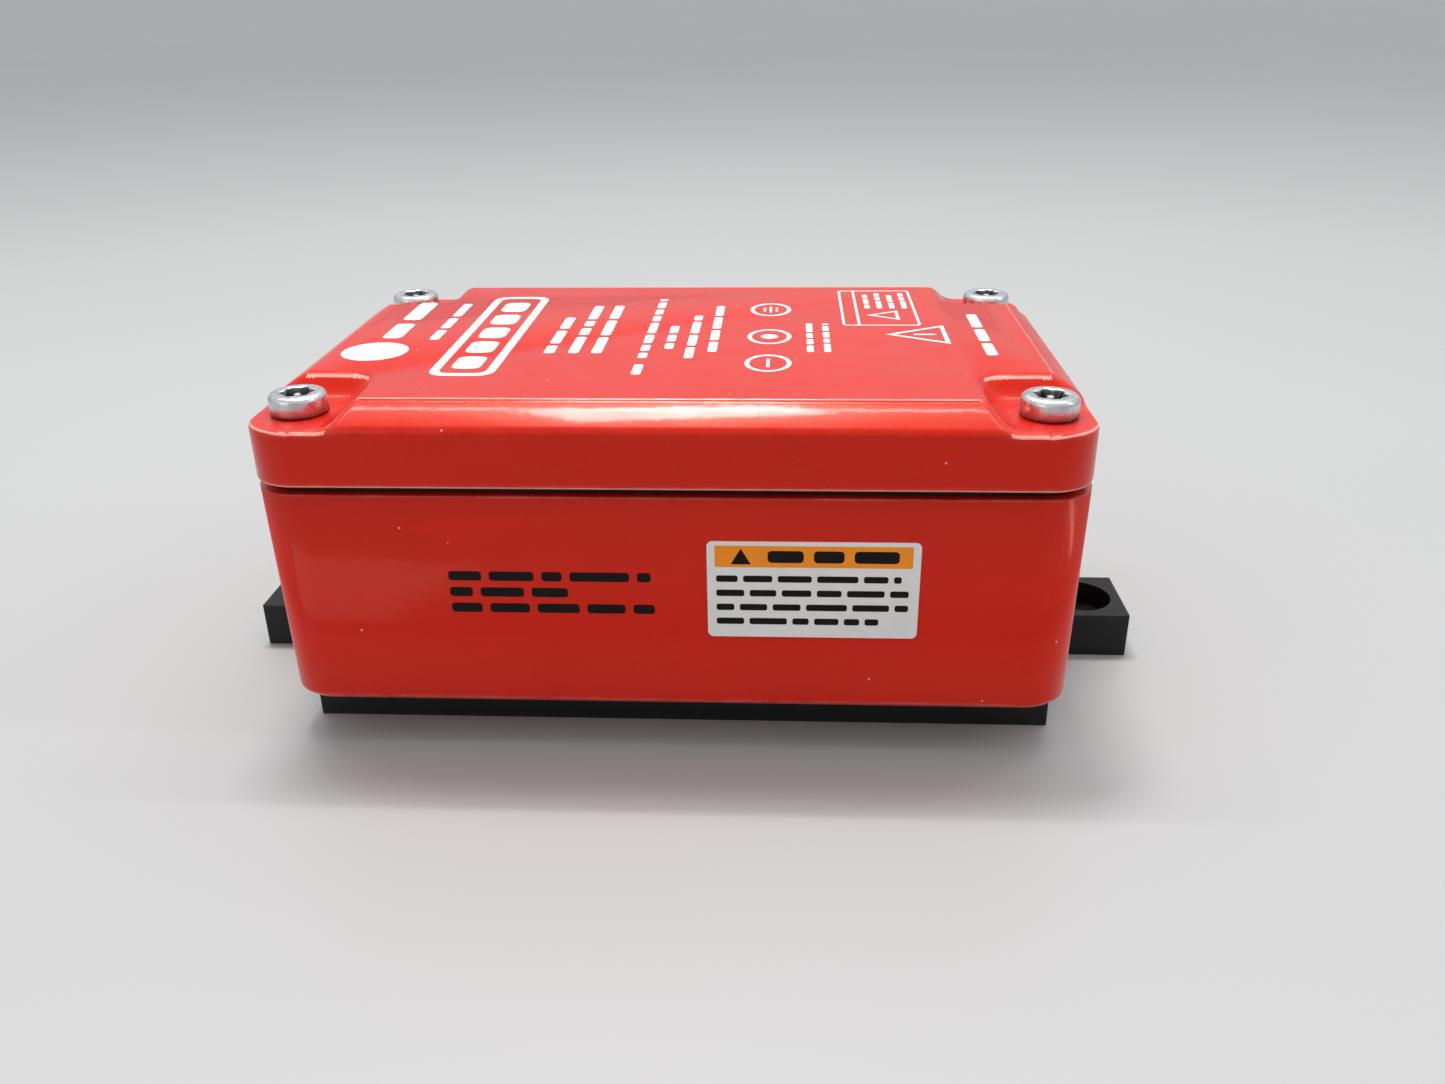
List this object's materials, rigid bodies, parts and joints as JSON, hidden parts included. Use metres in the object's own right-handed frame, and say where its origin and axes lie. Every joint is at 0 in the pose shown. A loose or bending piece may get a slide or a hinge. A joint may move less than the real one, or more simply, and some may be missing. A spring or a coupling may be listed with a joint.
{
  "type": "limit switch",
  "caption": "Hinge-operated rotary cam limit switch: red die-cast box with a screw-down cover on a black mounting plate with two fixing ears.",
  "frame": {"origin": "centre of the mounting plate's underside, midway between its two fixing holes", "axes": "+X along the box towards the conduit entry, +Y towards the shaft end, +Z out of the cover"},
  "size_m": [0.175, 0.1219, 0.0634],
  "materials": {
    "red_paint": "gloss",
    "black_plate": "matte",
    "zinc_plate": "satin",
    "rubber": "matte",
    "label_film": "satin",
    "stainless": "satin",
    "bronze": "satin",
    "spring_steel": "satin",
    "tool_steel": "satin",
    "white_plastic": "matte",
    "brass": "satin",
    "silver": "satin",
    "black_plastic": "matte",
    "grey_plastic": "matte",
    "green_plate": "satin"
  },
  "bodies": {
    "enclosure": {"mounting_plate": "black_plate", "plate_screws": "zinc_plate", "housing": "red_paint", "gasket": "rubber", "side_label": "label_film", "rear_bush": "bronze", "front_bush": "bronze", "shaft_seal": "rubber", "return_spring": "spring_steel", "contact_block": "black_plastic", "block_cover": "grey_plastic", "block_cover_screws": "zinc_plate", "block_screws": "zinc_plate", "fixed_contacts": "brass", "fixed_tips": "silver", "terminal_screws": "zinc_plate", "wire_clamps": "brass", "earth_screw": "brass", "earth_clamp": "green_plate"},
    "cover": {"lid": "red_paint", "cover_screws": "zinc_plate"},
    "actuator": {"shaft": "stainless", "cam": "tool_steel", "cam_set_screw": "tool_steel", "retaining_ring": "spring_steel", "thrust_washer": "spring_steel"},
    "plunger_set": {"plunger": "white_plastic", "contact_bridges": "brass", "bridge_tips": "silver", "bridge_springs": "spring_steel", "roller_pin": "stainless"},
    "cam_roller": {"roller": "stainless"}
  },
  "joints": [
    {"name": "cover_lift", "type": "slide", "parent": "enclosure", "child": "cover", "axis": [0, 0, 1], "range_m": [0, 0.06]},
    {"name": "shaft_turn", "type": "hinge", "parent": "enclosure", "child": "actuator", "pos_m": [-0.035, 0, 0.028], "axis": [0, 1, 0], "range_deg": [0, 180]},
    {"name": "plunger_slide", "type": "slide", "parent": "enclosure", "child": "plunger_set", "axis": [1, 0, 0], "range_m": [0, 0.004], "deforming": ["return_spring"]},
    {"name": "roller_spin", "type": "hinge", "parent": "plunger_set", "child": "cam_roller", "pos_m": [-0.02194, 0, 0.028], "axis": [0, 1, 0], "continuous": true}
  ],
  "couplings": [
    {"joint": "plunger_slide", "follows": "shaft_turn", "m_per_rad": 0.0012732}
  ]
}
